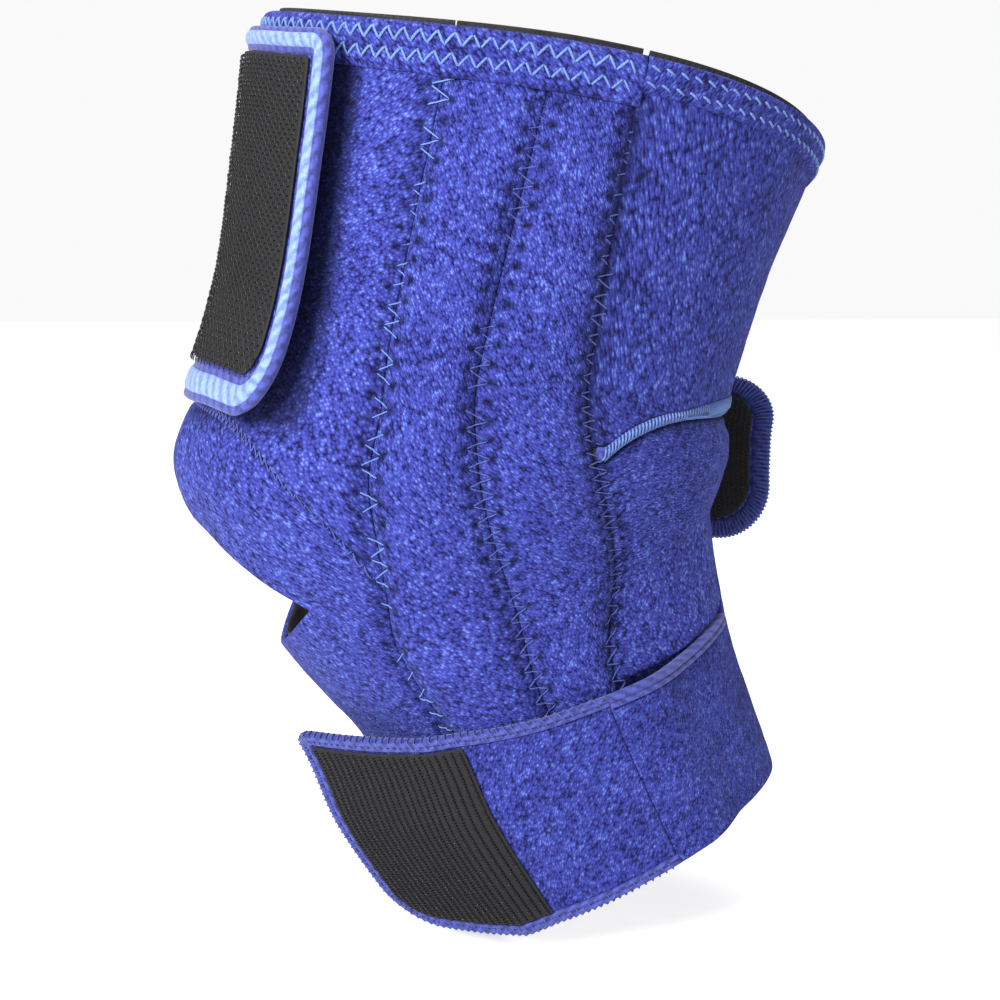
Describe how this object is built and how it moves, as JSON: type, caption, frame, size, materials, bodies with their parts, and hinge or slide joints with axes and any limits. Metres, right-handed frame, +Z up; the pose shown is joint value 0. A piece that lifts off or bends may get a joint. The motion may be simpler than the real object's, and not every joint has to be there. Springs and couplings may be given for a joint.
{
  "type": "cold compression knee wrap",
  "caption": "Open-patella knee wrap of brushed foam laminate with sewn gel channels, a hooked upper strap, a hooked lower strap and a loose strap behind the knee.",
  "frame": {"origin": "middle of the knee joint of the leg that wears the wrap", "axes": "+Z up along the standing leg, -X the front of the knee, -Y the outer (lateral) side of the leg"},
  "size_m": [0.1822, 0.1584, 0.2612],
  "materials": {
    "pile": "brushed loop pile, matt",
    "strap_pile": "brushed loop pile, matt",
    "binding": "overlocked knit tape, slight sheen",
    "hook_tape": "rows of glossy moulded hooks on a matt tape",
    "lining": "smooth black knit over closed-cell foam",
    "gel": "soft gel in a clear film"
  },
  "bodies": {
    "wrap_body": {"thigh_front_panel": "pile", "knee_cup_panel": "pile", "lateral_channel_front": "pile", "lateral_channel_rear": "pile", "medial_channel_rear": "pile", "medial_channel_front": "pile", "lateral_knee_panel": "pile", "top_hem": "pile", "front_lining": "lining", "lateral_lining": "lining", "medial_lining": "lining", "lateral_gel_front": "gel", "lateral_gel_rear": "gel", "medial_gel_rear": "gel", "medial_gel_front": "gel", "upper_strap_rear": "strap_pile", "slit_binding": "binding", "lower_band_rear": "strap_pile"},
    "upper_strap": {"upper_strap_front": "strap_pile"},
    "upper_tab": {"upper_tab": "strap_pile", "upper_tab_binding": "binding", "upper_hook_patch": "hook_tape"},
    "lower_strap": {"lower_strap_side": "strap_pile", "lower_strap_piping": "binding"},
    "lower_tab": {"lower_tab": "strap_pile", "lower_tab_binding": "binding", "lower_hook_patch": "hook_tape"},
    "knee_strap": {"knee_strap": "strap_pile", "knee_strap_binding": "binding", "knee_strap_hook_patch": "hook_tape"}
  },
  "joints": [
    {"name": "upper_strap_open", "type": "hinge", "parent": "wrap_body", "child": "upper_strap", "pos_m": [-0.01577, 0.06918, 0.08199], "axis": [-0.2106, -0.1014, -0.9723], "range_deg": [0, 60]},
    {"name": "upper_tab_peel", "type": "hinge", "parent": "upper_strap", "child": "upper_tab", "pos_m": [-0.06105, 0.00259, 0.08178], "axis": [-0.2062, -0.0035, -0.9785], "range_deg": [0, 100]},
    {"name": "lower_strap_open", "type": "hinge", "parent": "wrap_body", "child": "lower_strap", "pos_m": [0.07938, -0.02866, -0.06015], "axis": [-0.3335, -0.0648, 0.9405], "range_deg": [0, 70]},
    {"name": "lower_tab_peel", "type": "hinge", "parent": "lower_strap", "child": "lower_tab", "pos_m": [0.01707, -0.04724, -0.08302], "axis": [-0.4626, -0.0968, 0.8813], "range_deg": [0, 100]},
    {"name": "knee_strap_swing", "type": "hinge", "parent": "wrap_body", "child": "knee_strap", "pos_m": [0.04423, 0.05219, 0.00795], "axis": [-0.0551, 0.2507, 0.9665], "range_deg": [-12, 80]}
  ]
}
